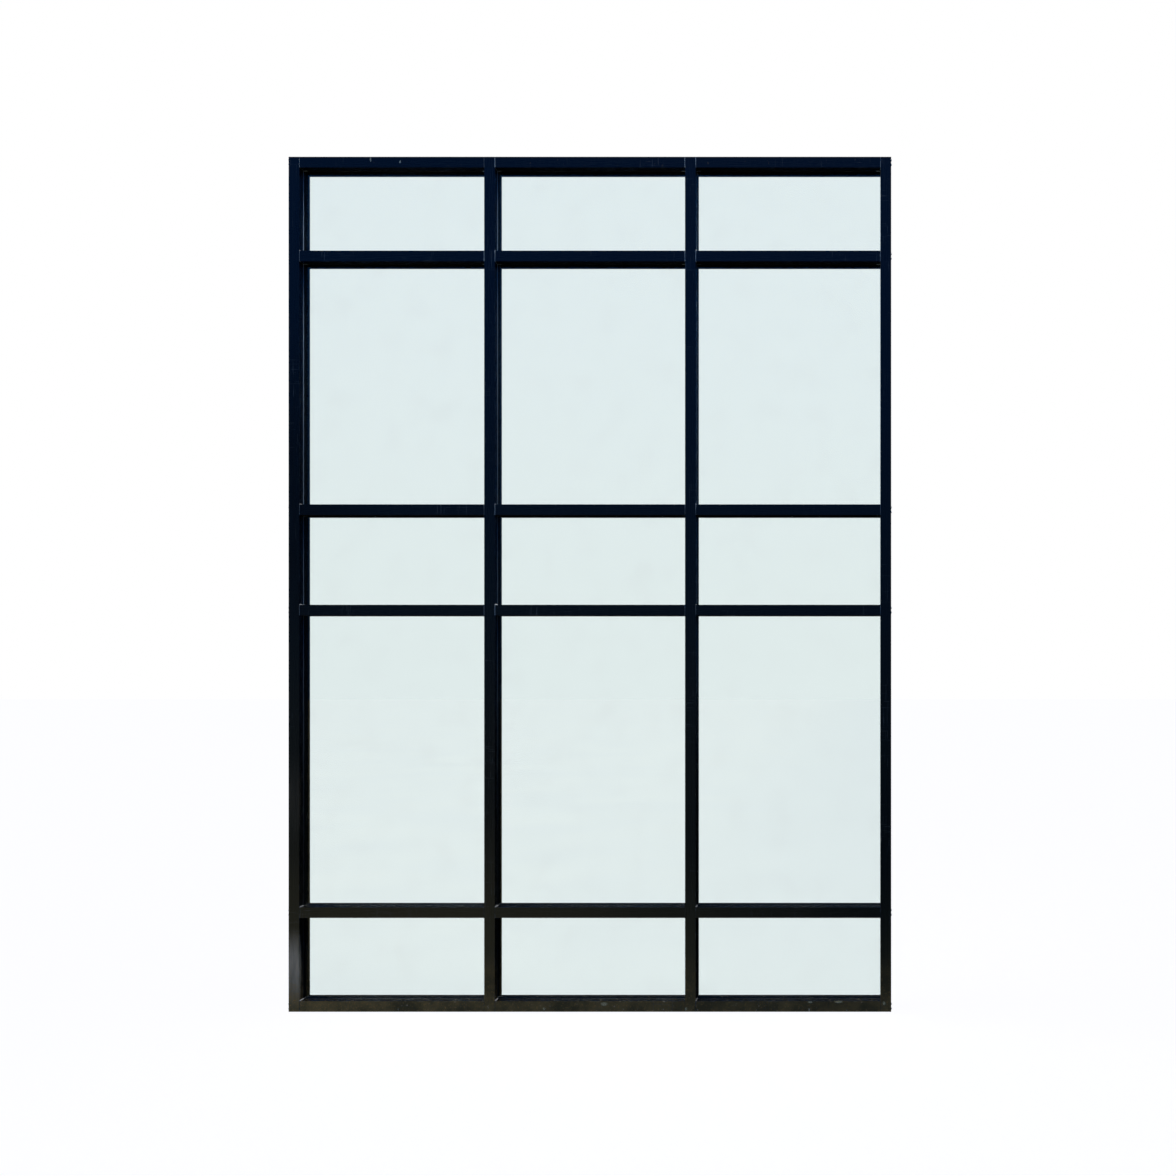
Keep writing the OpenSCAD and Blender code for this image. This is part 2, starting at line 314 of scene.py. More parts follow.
def height_tones_group():
    """Three colours by height above the ground, with an uneven border."""
    tree, given, result = start_group(
        "Height tones",
        {
            "Foot Colour": (0, 0, 0, 1),
            "Middle Colour": (0, 0, 0, 1),
            "Head Colour": (0, 0, 0, 1),
            "Foot Height": 0.0,
            "Middle Height": 1.0,
            "Head Height": 2.0,
            "Unevenness": 0.3,
            "Slant": 0.0,
        },
        "Colour",
    )
    place = object_place(tree)
    parts = parts_of(tree, place)
    # The slant lifts the height towards the right; on the frame this makes the painted ground reflection at
    # the foot fade to the right.
    slant = mapped(tree, parts["X"], -0.5, WALL_HIGH.x, 0.0, given["Slant"])
    height = maths(tree, "ADD", parts["Z"], slant)
    wobble = maths(tree, "SUBTRACT", noise(tree, place, 1.3, 2.0), 0.5)
    height = maths(tree, "ADD", height, maths(tree, "MULTIPLY", wobble, given["Unevenness"]))
    lower = mapped(tree, height, given["Foot Height"], given["Middle Height"])
    upper = mapped(tree, height, given["Middle Height"], given["Head Height"])
    tone = blended(tree, lower, given["Foot Colour"], given["Middle Colour"])
    tree.links.new(blended(tree, upper, tone, given["Head Colour"]), result["Colour"])
    return tree


def worn_edges_group():
    """A mask along edges, broken up by noise."""
    tree, given, result = start_group("Worn edges", {"Radius": 0.001, "Cover": 0.5}, "Mask")
    rounded = new_node(tree, "ShaderNodeBevel", {"Radius": given["Radius"]}, samples=4).outputs["Normal"]
    flat = new_node(tree, "ShaderNodeNewGeometry").outputs["Normal"]
    facing = vector_maths(tree, "DOT_PRODUCT", rounded, flat, "Value")
    edge = mapped(tree, facing, 0.995, 0.86)
    broken = noise(tree, object_place(tree), 38.0, 5.0, 0.7)
    least = maths(tree, "SUBTRACT", 1.0, given["Cover"])
    most = maths(tree, "ADD", least, 0.12)
    tree.links.new(maths(tree, "MULTIPLY", edge, mapped(tree, broken, least, most)), result["Mask"])
    return tree


def settled_dust_group():
    """A mask of dust: thick on ledges, thin on faces near the ground."""
    tree, given, result = start_group("Settled dust", {"Ledge": 0.6, "Face": 0.2, "Reach": 1.0}, "Mask")
    place = object_place(tree)
    parts = parts_of(tree, place)
    upward = normal_part(tree, "Z")
    clouds = mapped(tree, noise(tree, place, 9.0, 6.0, 0.65), 0.35, 0.7)
    specks = mapped(tree, noise(tree, place, 120.0, 3.0), 0.57, 0.66)
    windward = mapped(tree, parts["X"], 0.6, WALL_LOW.x, 0.58, 1.0)
    near = maths(tree, "MULTIPLY", mapped(tree, parts["Z"], given["Reach"], 0.0), windward)
    near = maths(tree, "MULTIPLY", near, given["Face"])
    on_ledge = maths(tree, "MULTIPLY", mapped(tree, upward, 0.3, 0.9), given["Ledge"])
    on_face = maths(tree, "MULTIPLY", near, mapped(tree, upward, 0.9, 0.3))
    settled = maths(tree, "MULTIPLY", maths(tree, "ADD", on_ledge, on_face), maths(tree, "ADD", clouds, 0.35))
    speckled = maths(tree, "MULTIPLY", specks, near)
    tree.links.new(maths(tree, "ADD", settled, speckled, clamp=True), result["Mask"])
    return tree


def hairline_scratches_group():
    """Sparse thin scratches that run up or along the wall."""
    tree, given, result = start_group("Hairline scratches", {"Cover": 0.1, "Density": 1.0}, "Mask")
    least = maths(tree, "SUBTRACT", 0.8, given["Cover"])
    most = maths(tree, "ADD", least, 0.04)
    marks = []
    for stretch in ((220.0, 220.0, 9.0), (11.0, 180.0, 240.0)):
        place = object_place(tree, stretch)
        marks.append(mapped(tree, noise(tree, place, given["Density"], 1.0, 0.4), least, most))
    patches = mapped(tree, noise(tree, object_place(tree), 4.0, 3.0), 0.5, 0.68)
    both = maths(tree, "MAXIMUM", marks[0], marks[1])
    tree.links.new(maths(tree, "MULTIPLY", both, patches), result["Mask"])
    return tree


def water_runs_group():
    """Pale runs left by rain, which follow the height."""
    tree, given, result = start_group("Water runs", {"Width": 1.0, "Cover": 0.3}, "Mask")
    runs = noise(tree, object_place(tree, (90.0, 90.0, 1.4)), given["Width"], 4.0, 0.6)
    least = maths(tree, "SUBTRACT", 0.72, given["Cover"])
    tree.links.new(mapped(tree, runs, least, maths(tree, "ADD", least, 0.25)), result["Mask"])
    return tree


def surface_grain_group():
    """Height of the fine drawn grain that an extrusion keeps under its finish."""
    tree, given, result = start_group("Surface grain", {"Scale": 500.0, "Along": (1.0, 1.0, 1.0)}, "Height")
    place = new_node(tree, "ShaderNodeTexCoord").outputs["Object"]
    drawn = vector_maths(tree, "MULTIPLY", place, given["Along"])
    lines = noise(tree, drawn, given["Scale"], 2.0)
    pores = noise(tree, place, given["Scale"], 1.0)
    both = maths(tree, "ADD", maths(tree, "MULTIPLY", lines, 0.7), maths(tree, "MULTIPLY", pores, 0.3))
    tree.links.new(both, result["Height"])
    return tree


def chipped_finish_group():
    """A mask of small chips where the finish is knocked off, near the ground and along the head."""
    tree, given, result = start_group(
        "Chipped finish",
        {"Foot": 0.05, "Head": 4.0, "Scale": 60.0, "Least": 0.7},
        "Mask",
    )
    height = height_of(tree)
    chips = noise(tree, object_place(tree, (1.0, 1.0, 0.7)), given["Scale"], 2.0, 0.6)
    most = maths(tree, "ADD", given["Least"], 0.05)
    low = mapped(tree, height, maths(tree, "ADD", given["Foot"], 0.06), given["Foot"])
    high = mapped(tree, height, maths(tree, "SUBTRACT", given["Head"], 0.02), given["Head"], 0.0, 0.06)
    where = maths(tree, "MAXIMUM", low, high)
    tree.links.new(maths(tree, "MULTIPLY", mapped(tree, chips, given["Least"], most), where), result["Mask"])
    return tree


def painted_light_group():
    """A soft mask around one place, stretched up the wall, for painted highlights and painted shade."""
    tree, given, result = start_group(
        "Painted light patch",
        {"Centre": (0.0, 0.0, 0.0), "Spread": (1.0, 1.0, 1.0)},
        "Mask",
    )
    away = vector_maths(tree, "SUBTRACT", object_place(tree), given["Centre"])
    scaled = vector_maths(tree, "DIVIDE", away, given["Spread"])
    distance = vector_maths(tree, "LENGTH", scaled, output="Value")
    streaks = mapped(tree, noise(tree, object_place(tree, (60.0, 60.0, 6.0)), 1.0, 3.0), 0.25, 0.75, 0.5, 1.0)
    tree.links.new(maths(tree, "MULTIPLY", mapped(tree, distance, 1.0, 0.15), streaks), result["Mask"])
    return tree


def struck_marks_group():
    """Ragged pale marks at set places in the front faces."""
    tree, given, result = start_group("Struck marks", {"Scale": 260.0, "Least": 0.4}, "Mask")
    place = object_place(tree)
    parts = parts_of(tree, place)
    inside = 0.0
    for across, up, half_width, half_height in MARKS:
        beside = maths(tree, "DIVIDE", maths(tree, "SUBTRACT", parts["X"], across), half_width)
        above = maths(tree, "DIVIDE", maths(tree, "SUBTRACT", parts["Z"], up), half_height)
        offset = new_node(tree, "ShaderNodeCombineXYZ", {0: beside, 1: above}).outputs[0]
        distance = vector_maths(tree, "LENGTH", offset, output="Value")
        inside = maths(tree, "MAXIMUM", inside, mapped(tree, distance, 1.0, 0.6))
    front = mapped(tree, parts["Y"], WALL_LOW.y + 0.004, WALL_LOW.y + 0.001)
    most = maths(tree, "ADD", given["Least"], 0.1)
    ragged = mapped(tree, noise(tree, place, given["Scale"], 2.0), given["Least"], most)
    tree.links.new(maths(tree, "MULTIPLY", maths(tree, "MULTIPLY", inside, front), ragged), result["Mask"])
    return tree


def make_groups():
    """Builds the shared effects once and returns them by name."""
    return {
        "tones": height_tones_group(),
        "wear": worn_edges_group(),
        "dust": settled_dust_group(),
        "scratches": hairline_scratches_group(),
        "runs": water_runs_group(),
        "painted_patch": painted_light_group(),
        "chips": chipped_finish_group(),
        "marks": struck_marks_group(),
        "grain": surface_grain_group(),
    }


GROUPS = {}


def use(tree, name, output, **values):
    """Places a shared effect, fills its inputs and gives back one output."""
    if not GROUPS:
        GROUPS.update(make_groups())
    node = tree.nodes.new("ShaderNodeGroup")
    node.node_tree = GROUPS[name]
    for label, value in values.items():
        socket = node.inputs[label.replace("_", " ")]
        if isinstance(value, bpy.types.NodeSocket):
            tree.links.new(value, socket)
        else:
            socket.default_value = value
    return node.outputs[output]


def toned(tree, colours, heights, **others):
    """Three colours, each at its own height: foot, middle and head."""
    for level, tone, height in zip(("Foot", "Middle", "Head"), colours, heights):
        others |= {f"{level}_Colour": tone, f"{level}_Height": height}
    return use(tree, "tones", "Colour", **others)


def start_material(name):
    """An empty node material with its shader."""
    material = bpy.data.materials.new(name)
    material.use_nodes = True
    tree = material.node_tree
    return material, tree, tree.nodes["Principled BSDF"]


def bump(tree, height, strength, distance):
    """A normal from a height."""
    node = new_node(tree, "ShaderNodeBump", {"Height": height, "Strength": strength, "Distance": distance})
    return node.outputs["Normal"]


def anodised_material(name, drawn_along, finish):
    """Dark anodised aluminium: tone by height that paints the reflection of sky above and of ground below,
    painted shade in the reveals, a painted dark patch and painted highlights on the left jamb, dust, rain
    runs, scratches and worn edges.
    """
    material, tree, shader = start_material(name)
    colours = (finish.foot_colour, finish.middle_colour, finish.head_colour)
    heights = (finish.foot_height, finish.middle_height, finish.head_height)
    # Painted reflection by height: sky above, ground and dust at the foot; the slant fades the painted ground
    # reflection towards the right.
    tone = toned(tree, colours, heights, Unevenness=0.5, Slant=0.3)
    # Painted shade: faces that don't look out of the wall (reveals, undersides, ledges) take near-black low
    # down and the head colour higher up.
    outward = mapped(tree, maths(tree, "ABSOLUTE", normal_part(tree, "Y")), 0.3, 0.8)
    height = height_of(tree)
    inner = blended(tree, mapped(tree, height, 0.8, 3.0), finish.shade_colour, finish.head_colour)
    tone = blended(tree, maths(tree, "MAXIMUM", outward, 0.1), inner, tone)
    runs = use(tree, "runs", "Mask", Width=1.0, Cover=0.22)
    tone = laid_over(tree, tone, finish.bare_colour, runs, finish.runs_share)
    # Painted shade: a dark patch halfway up the left jamb that stands in for a dark reflection.
    dark = use(tree, "painted_patch", "Mask", Centre=(WALL_LOW.x, WALL_LOW.y, PAINTED_SHADE_HEIGHT), Spread=PAINTED_SHADE_SPREAD)
    tone = laid_over(tree, tone, finish.shade_colour, dark, finish.painted_shade_share)
    # Painted highlights: soft pale patches on the left jamb's face, standing in for a blurred reflection near
    # its foot.
    for up, spread, strength in PAINTED_HIGHLIGHTS:
        centre = (WALL_LOW.x + HALF_FACE, WALL_LOW.y, up)
        painted_patch = use(tree, "painted_patch", "Mask", Centre=centre, Spread=(0.09, 0.03, spread))
        tone = laid_over(tree, tone, finish.scuff_colour, painted_patch, strength)
    dust = use(tree, "dust", "Mask", Ledge=0.01, Face=0.6, Reach=0.3)
    dust = maths(tree, "MULTIPLY", dust, maths(tree, "MAXIMUM", outward, 0.3))
    tone = blended(tree, dust, tone, finish.dust_colour)
    chips = use(tree, "chips", "Mask", Foot=0.05, Head=4.07, Scale=75.0, Least=0.69)
    tone = blended(tree, chips, tone, finish.chip_colour)
    struck = blended(tree, mapped(tree, height, 1.0, 3.0), finish.grazed_colour, finish.mark_colour)
    tone = blended(tree, use(tree, "marks", "Mask", Scale=420.0, Least=0.46), tone, struck)
    scratches = use(tree, "scratches", "Mask", Cover=0.12, Density=1.0)
    tone = laid_over(tree, tone, finish.bare_colour, scratches, finish.scratches_share)
    wear = use(tree, "wear", "Mask", Radius=finish.wear_radius, Cover=0.5)
    kicked = mapped(tree, height, 1.0, 0.2, 0.12, 0.9)
    tone = laid_over(tree, tone, finish.bare_colour, wear, kicked)
    tree.links.new(tone, shader.inputs["Base Color"])
    worn_metal = maths(tree, "MAXIMUM", maths(tree, "MULTIPLY", wear, 0.5), scratches)
    tree.links.new(maths(tree, "MULTIPLY", worn_metal, 0.5), shader.inputs["Metallic"])
    grain = use(tree, "grain", "Height", Scale=finish.grain_scale, Along=drawn_along)
    rough = mapped(tree, grain, 0.2, 0.8, finish.roughness - 0.05, finish.roughness + 0.07)
    tree.links.new(maths(tree, "ADD", rough, maths(tree, "MULTIPLY", dust, 0.4)), shader.inputs["Roughness"])
    tree.links.new(bump(tree, grain, 0.06, 0.0001), shader.inputs["Normal"])
    shader.inputs["Specular IOR Level"].default_value = 0.25
    return material


def glass_material(finish):
    """Clear glass with a faint tint and film, which lets light past for shadows."""
    material, tree, shader = start_material("tinted_glass")
    film = mapped(tree, noise(tree, object_place(tree), finish.film_scale, 5.0, 0.6), 0.45, 0.8)
    clean = blended(tree, mapped(tree, height_of(tree), 1.2, 3.8), finish.tint, finish.head_tint)
    tree.links.new(laid_over(tree, clean, finish.film, film, finish.film_share), shader.inputs["Base Color"])
    shader.inputs["Roughness"].default_value = 0.0
    shader.inputs["Transmission Weight"].default_value = 1.0
    shader.inputs["IOR"].default_value = 1.5
    shader.inputs["Specular IOR Level"].default_value = 0.25
    open_to_light = new_node(tree, "ShaderNodeBsdfTransparent", {"Color": finish.tint})
    ray = new_node(tree, "ShaderNodeLightPath").outputs["Is Shadow Ray"]
    mix = new_node(tree, "ShaderNodeMixShader", {0: ray, 1: shader.outputs[0], 2: open_to_light.outputs[0]})
    tree.links.new(mix.outputs[0], tree.nodes["Material Output"].inputs["Surface"])
    return material


def rubber_material(name, foot_colour, head_colour, dust_colour):
    """Rubber with a painted highlight that is paler higher up where it lies along the uprights, and a little
    dust.
    """
    material, tree, shader = start_material(name)
    # Painted highlight: the tone runs from the foot colour to the head colour with height, and stays only
    # beside the uprights.
    colours = (foot_colour, [(a + b) / 2 for a, b in zip(foot_colour, head_colour)], head_colour)
    tone = toned(tree, colours, (0.7, 2.4, 3.9), Unevenness=0.4)
    across = parts_of(tree, object_place(tree))["X"]
    near_upright = 0.0
    for upright in UPRIGHTS:
        low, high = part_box(upright)
        away = maths(tree, "ABSOLUTE", maths(tree, "SUBTRACT", across, (low.x + high.x) / 2))
        beside = mapped(tree, away, HIGHLIGHT_REACH, 0.8 * HIGHLIGHT_REACH)
        near_upright = maths(tree, "MAXIMUM", near_upright, beside)
    tone = blended(tree, near_upright, foot_colour, tone)
    dust = use(tree, "dust", "Mask", Ledge=0.15, Face=0.08, Reach=1.2)
    tone = blended(tree, dust, tone, dust_colour)
    tree.links.new(tone, shader.inputs["Base Color"])
    pores = noise(tree, object_place(tree), 700.0, 2.0)
    tree.links.new(mapped(tree, pores, 0.2, 0.8, 0.55, 0.7), shader.inputs["Roughness"])
    tree.links.new(bump(tree, pores, 0.2, 0.0003), shader.inputs["Normal"])
    shader.inputs["Specular IOR Level"].default_value = 0.3
    return material


def sealant_material(name, base, dirt_colour, soiled):
    """Cured sealant: brightest beside the left mullion, and covered in dirt low down by the share given."""
    material, tree, shader = start_material(name)
    ripples = noise(tree, object_place(tree, (1.0, 1.0, 0.5)), 240.0, 3.0)
    dirt = use(tree, "dust", "Mask", Ledge=0.1, Face=0.2, Reach=1.2)
    place = object_place(tree)
    parts = parts_of(tree, place)
    away = maths(tree, "ABSOLUTE", maths(tree, "SUBTRACT", parts["X"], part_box("left_mullion")[1].x))
    tooled = mapped(tree, away, 0.05, 0.01, 0.0, 0.9)
    sheltered = mapped(tree, maths(tree, "ABSOLUTE", parts["X"]), 1.2, 1.35, 0.9, 0.35)
    patches = maths(tree, "MULTIPLY", mapped(tree, noise(tree, place, 4.0, 3.0), 0.4, 0.62), sheltered)
    patches = maths(tree, "MAXIMUM", patches, tooled)
    patches = maths(tree, "MULTIPLY", patches, mapped(tree, parts["Z"], 0.9, 2.0))
    dull, bright = shaded(base, 0.25), shaded(base, 1.5)
    tone = blended(tree, patches, dull, bright)
    tone = blended(tree, mapped(tree, ripples, 0.3, 0.75, 0.0, 0.5), tone, dull)
    buried = mapped(tree, parts["Z"], 2.0, 0.6, 0.0, soiled)
    tone = blended(tree, maths(tree, "MAXIMUM", dirt, buried), tone, dirt_colour)
    tree.links.new(tone, shader.inputs["Base Color"])
    tree.links.new(mapped(tree, ripples, 0.2, 0.8, 0.4, 0.6), shader.inputs["Roughness"])
    tree.links.new(bump(tree, ripples, 0.4, 0.0006), shader.inputs["Normal"])
    return material


def bright_metal_material(name, base, roughness):
    """Mill aluminium or stainless steel with fine marks."""
    material, tree, shader = start_material(name)
    marks = use(tree, "scratches", "Mask", Cover=0.25, Density=2.0)
    grain = use(tree, "grain", "Height", Scale=1500.0, Along=(0.05, 1.0, 0.05))
    tone = blended(tree, mapped(tree, grain, 0.3, 0.7), base, shaded(base, 0.7))
    tree.links.new(blended(tree, marks, tone, shaded(base, 1.6)), shader.inputs["Base Color"])
    rough = mapped(tree, grain, 0.2, 0.8, roughness - 0.08, roughness + 0.1)
    tree.links.new(rough, shader.inputs["Roughness"])
    tree.links.new(bump(tree, grain, 0.15, 0.0002), shader.inputs["Normal"])
    shader.inputs["Metallic"].default_value = 1.0
    return material


def grit_material(grit):
    """Small stones and dry earth."""
    material, tree, shader = start_material("grit")
    shade = noise(tree, object_place(tree), 300.0, 3.0)
    tone = blended(tree, mapped(tree, shade, 0.3, 0.7), grit.dark, grit.light)
    tree.links.new(tone, shader.inputs["Base Color"])
    tree.links.new(bump(tree, shade, 0.5, 0.0005), shader.inputs["Normal"])
    shader.inputs["Roughness"].default_value = 0.85
    return material


def dress(node_names, material):
    """Gives CAD nodes a material."""
    for name in node_names:
        node = frame["nodes"][name]
        node.data.materials.clear()
        node.data.materials.append(material)


def points_object(name, places):
    """A mesh of bare points."""
    mesh = bpy.data.meshes.new(name)
    mesh.from_pydata([tuple(place) for place in places], [], [])
    made = bpy.data.objects.new(name, mesh)
    bpy.context.scene.collection.objects.link(made)
    return made


def start_geometry(name, inputs):
    """A geometry node tree with named inputs."""
    tree = bpy.data.node_groups.new(name, "GeometryNodeTree")
    tree.interface.new_socket(name="Geometry", in_out="INPUT", socket_type="NodeSocketGeometry")
    for label, kind, default in inputs:
        socket = tree.interface.new_socket(name=label, in_out="INPUT", socket_type=kind)
        if default is not None:
            socket.default_value = default
    tree.interface.new_socket(name="Geometry", in_out="OUTPUT", socket_type="NodeSocketGeometry")
    return tree, tree.nodes.new("NodeGroupInput").outputs, tree.nodes.new("NodeGroupOutput").inputs


def grow(start, tree, values):
    """Runs a geometry node tree on an object and keeps the result as a plain mesh."""
    modifier = start.modifiers.new(tree.name, "NODES")
    modifier.node_group = tree
    ids = {item.name: item.identifier for item in tree.interface.items_tree if item.in_out == "INPUT"}
    for label, value in values.items():
        modifier[ids[label]] = value
    graph = bpy.context.evaluated_depsgraph_get()
    mesh = bpy.data.meshes.new_from_object(start.evaluated_get(graph))
    name = start.name
    bpy.data.objects.remove(start)
    made = bpy.data.objects.new(name, mesh)
    bpy.context.scene.collection.objects.link(made)
    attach(made, "root")
    return made


def finish_tree(tree, geometry, material, result):
    """Realizes the instances and sets their material."""
    real = new_node(tree, "GeometryNodeRealizeInstances", {"Geometry": geometry}).outputs["Geometry"]
    dressed = new_node(tree, "GeometryNodeSetMaterial", {"Geometry": real, "Material": material})
    tree.links.new(dressed.outputs["Geometry"], result["Geometry"])


def random_between(tree, low, high, seed):
    """A random number or vector between two."""
    first, kind = (0, "FLOAT_VECTOR") if isinstance(low, tuple) else (2, "FLOAT")
    node = new_node(
        tree, "FunctionNodeRandomValue", {first: low, first + 1: high, "Seed": seed}, data_type=kind
    )
    return node.outputs[first // 2]


def screw_tree():
    """Pan-head screws with a cross recess, turned to face out of the jamb."""
    tree, given, result = start_geometry(
        "Jamb screws",
        [
            ("Head Radius", "NodeSocketFloat", 0.005),
            ("Head Height", "NodeSocketFloat", 0.002),
            ("Washer Radius", "NodeSocketFloat", 0.006),
            ("Recess Width", "NodeSocketFloat", 0.001),
            ("Turn", "NodeSocketFloat", 0.0),
            ("Seed", "NodeSocketInt", 0),
            ("Material", "NodeSocketMaterial", None),
        ],
    )
    radius, tall = given["Head Radius"], given["Head Height"]
    thick = maths(tree, "MULTIPLY", tall, 0.4)
    crown = maths(tree, "MULTIPLY", radius, 0.62)
    washer = new_node(
        tree, "GeometryNodeMeshCylinder", {"Vertices": 20, "Radius": given["Washer Radius"], "Depth": thick}
    )
    head = new_node(
        tree,
        "GeometryNodeMeshCone",
        {"Vertices": 20, "Radius Top": crown, "Radius Bottom": radius, "Depth": tall},
    )
    size = new_node(tree, "ShaderNodeCombineXYZ", {0: radius, 1: given["Recess Width"], 2: tall}).outputs[0]
    bars = []
    for turn in (0.0, math.pi / 2):
        bar = new_node(tree, "GeometryNodeMeshCube", {"Size": size}).outputs["Mesh"]
        lift = new_node(tree, "ShaderNodeCombineXYZ", {2: tall}).outputs[0]
        moved = new_node(
            tree,
            "GeometryNodeTransform",
            {"Geometry": bar, "Translation": lift, "Rotation": (0.0, 0.0, turn)},
        )
        bars.append(moved.outputs["Geometry"])
    cut = new_node(tree, "GeometryNodeMeshBoolean", {"Mesh 1": head.outputs["Mesh"]}, operation="DIFFERENCE")
    for bar in bars:
        tree.links.new(bar, cut.inputs["Mesh 2"])
    whole = tree.nodes.new("GeometryNodeJoinGeometry")
    for part in (cut.outputs["Mesh"], washer.outputs["Mesh"]):
        tree.links.new(part, whole.inputs["Geometry"])
    turn = new_node(tree, "ShaderNodeCombineXYZ", {1: given["Turn"]}).outputs[0]
    laid = new_node(
        tree, "GeometryNodeTransform", {"Geometry": whole.outputs["Geometry"], "Rotation": turn}
    )
    spin = random_between(tree, 0.0, math.pi, given["Seed"])
    about = new_node(tree, "ShaderNodeCombineXYZ", {0: spin}).outputs[0]
    placed = new_node(
        tree,
        "GeometryNodeInstanceOnPoints",
        {"Points": given["Geometry"], "Instance": laid.outputs["Geometry"], "Rotation": about},
    )
    finish_tree(tree, placed.outputs["Instances"], given["Material"], result)
    return tree


def bead_tree():
    """Short beads of sealant laid through the wall's depth, each a little uneven."""
    tree, given, result = start_geometry(
        "Corner beads",
        [
            ("Length", "NodeSocketFloat", 0.04),
            ("Radius", "NodeSocketFloat", 0.003),
            ("Seed", "NodeSocketInt", 0),
            ("Material", "NodeSocketMaterial", None),
        ],
    )
    half = maths(tree, "MULTIPLY", given["Length"], 0.5)
    start = new_node(tree, "ShaderNodeCombineXYZ", {1: maths(tree, "MULTIPLY", half, -1.0)}).outputs[0]
    end = new_node(tree, "ShaderNodeCombineXYZ", {1: half}).outputs[0]
    line = new_node(tree, "GeometryNodeCurvePrimitiveLine", {"Start": start, "End": end}).outputs["Curve"]
    fine = new_node(tree, "GeometryNodeResampleCurve", {"Curve": line, "Count": 10}).outputs["Curve"]
    ring = new_node(tree, "GeometryNodeCurvePrimitiveCircle", {"Resolution": 10, "Radius": given["Radius"]})
    tube = new_node(
        tree,
        "GeometryNodeCurveToMesh",
        {"Curve": fine, "Profile Curve": ring.outputs["Curve"], "Fill Caps": True},
    ).outputs["Mesh"]
    size = random_between(tree, 0.75, 1.25, given["Seed"])
    scale = new_node(tree, "ShaderNodeCombineXYZ", {0: size, 1: 1.0, 2: size}).outputs[0]
    placed = new_node(
        tree,
        "GeometryNodeInstanceOnPoints",
        {"Points": given["Geometry"], "Instance": tube, "Scale": scale},
    ).outputs["Instances"]
    real = new_node(tree, "GeometryNodeRealizeInstances", {"Geometry": placed}).outputs["Geometry"]
    field = new_node(tree, "ShaderNodeTexNoise", {"Scale": 180.0, "Detail": 2.0}).outputs["Color"]
    centred = vector_maths(tree, "SUBTRACT", field, (0.5, 0.5, 0.5))
    push = vector_maths(tree, "MULTIPLY", centred, (0.003, 0.0, 0.003))
    lumpy = new_node(tree, "GeometryNodeSetPosition", {"Geometry": real, "Offset": push})
    finish_tree(tree, lumpy.outputs["Geometry"], given["Material"], result)
    return tree


def grit_tree():
    """Small stones scattered over strips of ledge."""
    tree, given, result = start_geometry(
        "Ledge grit",
        [
            ("Density", "NodeSocketFloat", 400.0),
            ("Largest", "NodeSocketFloat", 0.002),
            ("Seed", "NodeSocketInt", 0),
            ("Material", "NodeSocketMaterial", None),
        ],
    )
    spots = new_node(
        tree,
        "GeometryNodeDistributePointsOnFaces",
        {"Mesh": given["Geometry"], "Density": given["Density"], "Seed": given["Seed"]},
    ).outputs["Points"]
    stone = new_node(tree, "GeometryNodeMeshIcoSphere", {"Radius": given["Largest"], "Subdivisions": 1})
    size = random_between(tree, (0.2, 0.2, 0.15), (1.0, 0.8, 0.6), given["Seed"])
    turn = random_between(tree, (0.0, 0.0, 0.0), (0.4, 0.4, 6.28), given["Seed"])
    placed = new_node(
        tree,
        "GeometryNodeInstanceOnPoints",
        {"Points": spots, "Instance": stone.outputs["Mesh"], "Scale": size, "Rotation": turn},
    )
    finish_tree(tree, placed.outputs["Instances"], given["Material"], result)
    return tree


def opening(row, column):
    """Clear opening of a pane between its frame members: left, right, foot and head."""
    level = ROWS.index(row)
    rail_low, rail_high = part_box(f"{LEVELS[level]}_{column}"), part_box(f"{LEVELS[level + 1]}_{column}")
    side = COLUMNS.index(column)
    left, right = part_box(UPRIGHTS[side])[1].x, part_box(UPRIGHTS[side + 1])[0].x
    return left, right, rail_low[1].z, rail_high[0].z


class WALL_OT_anodised_frame(bpy.types.Operator):
    """Finish the uprights, rails and glass stops in dark anodised aluminium"""

    bl_idname = "wall.anodised_frame"
    bl_label = "Anodised frame"

    def execute(self, context):
        finish = context.scene.wall_frame
        dress(UPRIGHTS, anodised_material("anodised_uprights", (1.0, 1.0, 0.02), finish))
        dress(RAILS + ("glass_stops",), anodised_material("anodised_rails", (0.02, 1.0, 1.0), finish))
        return {"FINISHED"}


class WALL_OT_glass_units(bpy.types.Operator):
    """Finish the glass and its spacers"""

    bl_idname = "wall.glass_units"
    bl_label = "Glass units"

    def execute(self, context):
        glass = context.scene.wall_glass
        dress(PANES, glass_material(glass))
        dress(("glass_spacers",), bright_metal_material("black_spacer", glass.spacer, 0.45))
        return {"FINISHED"}


class WALL_OT_gaskets_and_seals(bpy.types.Operator):
    """Finish the gaskets, setting blocks and joint sealant"""

    bl_idname = "wall.gaskets_and_seals"
    bl_label = "Gaskets and seals"

    def execute(self, context):
        seals = context.scene.wall_seals
        highlit = rubber_material("highlit_rubber", seals.gasket_foot, seals.gasket_highlight, seals.rubber_dust)
        dress(("front_gaskets",), highlit)
        black = rubber_material("black_rubber", seals.rubber, seals.rubber, seals.rubber_dust)
        dress(("rear_gaskets", "setting_blocks"), black)
        dress(("joint_seals",), sealant_material("joint_sealant", seals.sealant, seals.joint_dirt, 0.95))
        return {"FINISHED"}


class WALL_OT_corner_sealant(bpy.types.Operator):
    """Lay the bead of sealant at the lower left inner corner of each opening"""

    bl_idname = "wall.corner_sealant"
    bl_label = "Corner sealant"

    def execute(self, context):
        seals = context.scene.wall_seals
        front = WALL_LOW.y
        glass_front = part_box("front_gaskets")[1].y
        reach = glass_front - front
        places = []
        for row in ROWS:
            for column in COLUMNS:
                left, _, foot, _ = opening(row, column)
                places.append((left, (front + glass_front) / 2, foot))
        values = {
            "Length": reach - 0.004,
            "Radius": seals.bead_radius,
            "Seed": context.scene.wall_stage.seed,
            "Material": sealant_material("corner_smear", seals.smear, seals.joint_dirt, 0.0),
        }
        grow(points_object("corner_sealant", places), bead_tree(), values)
        return {"FINISHED"}


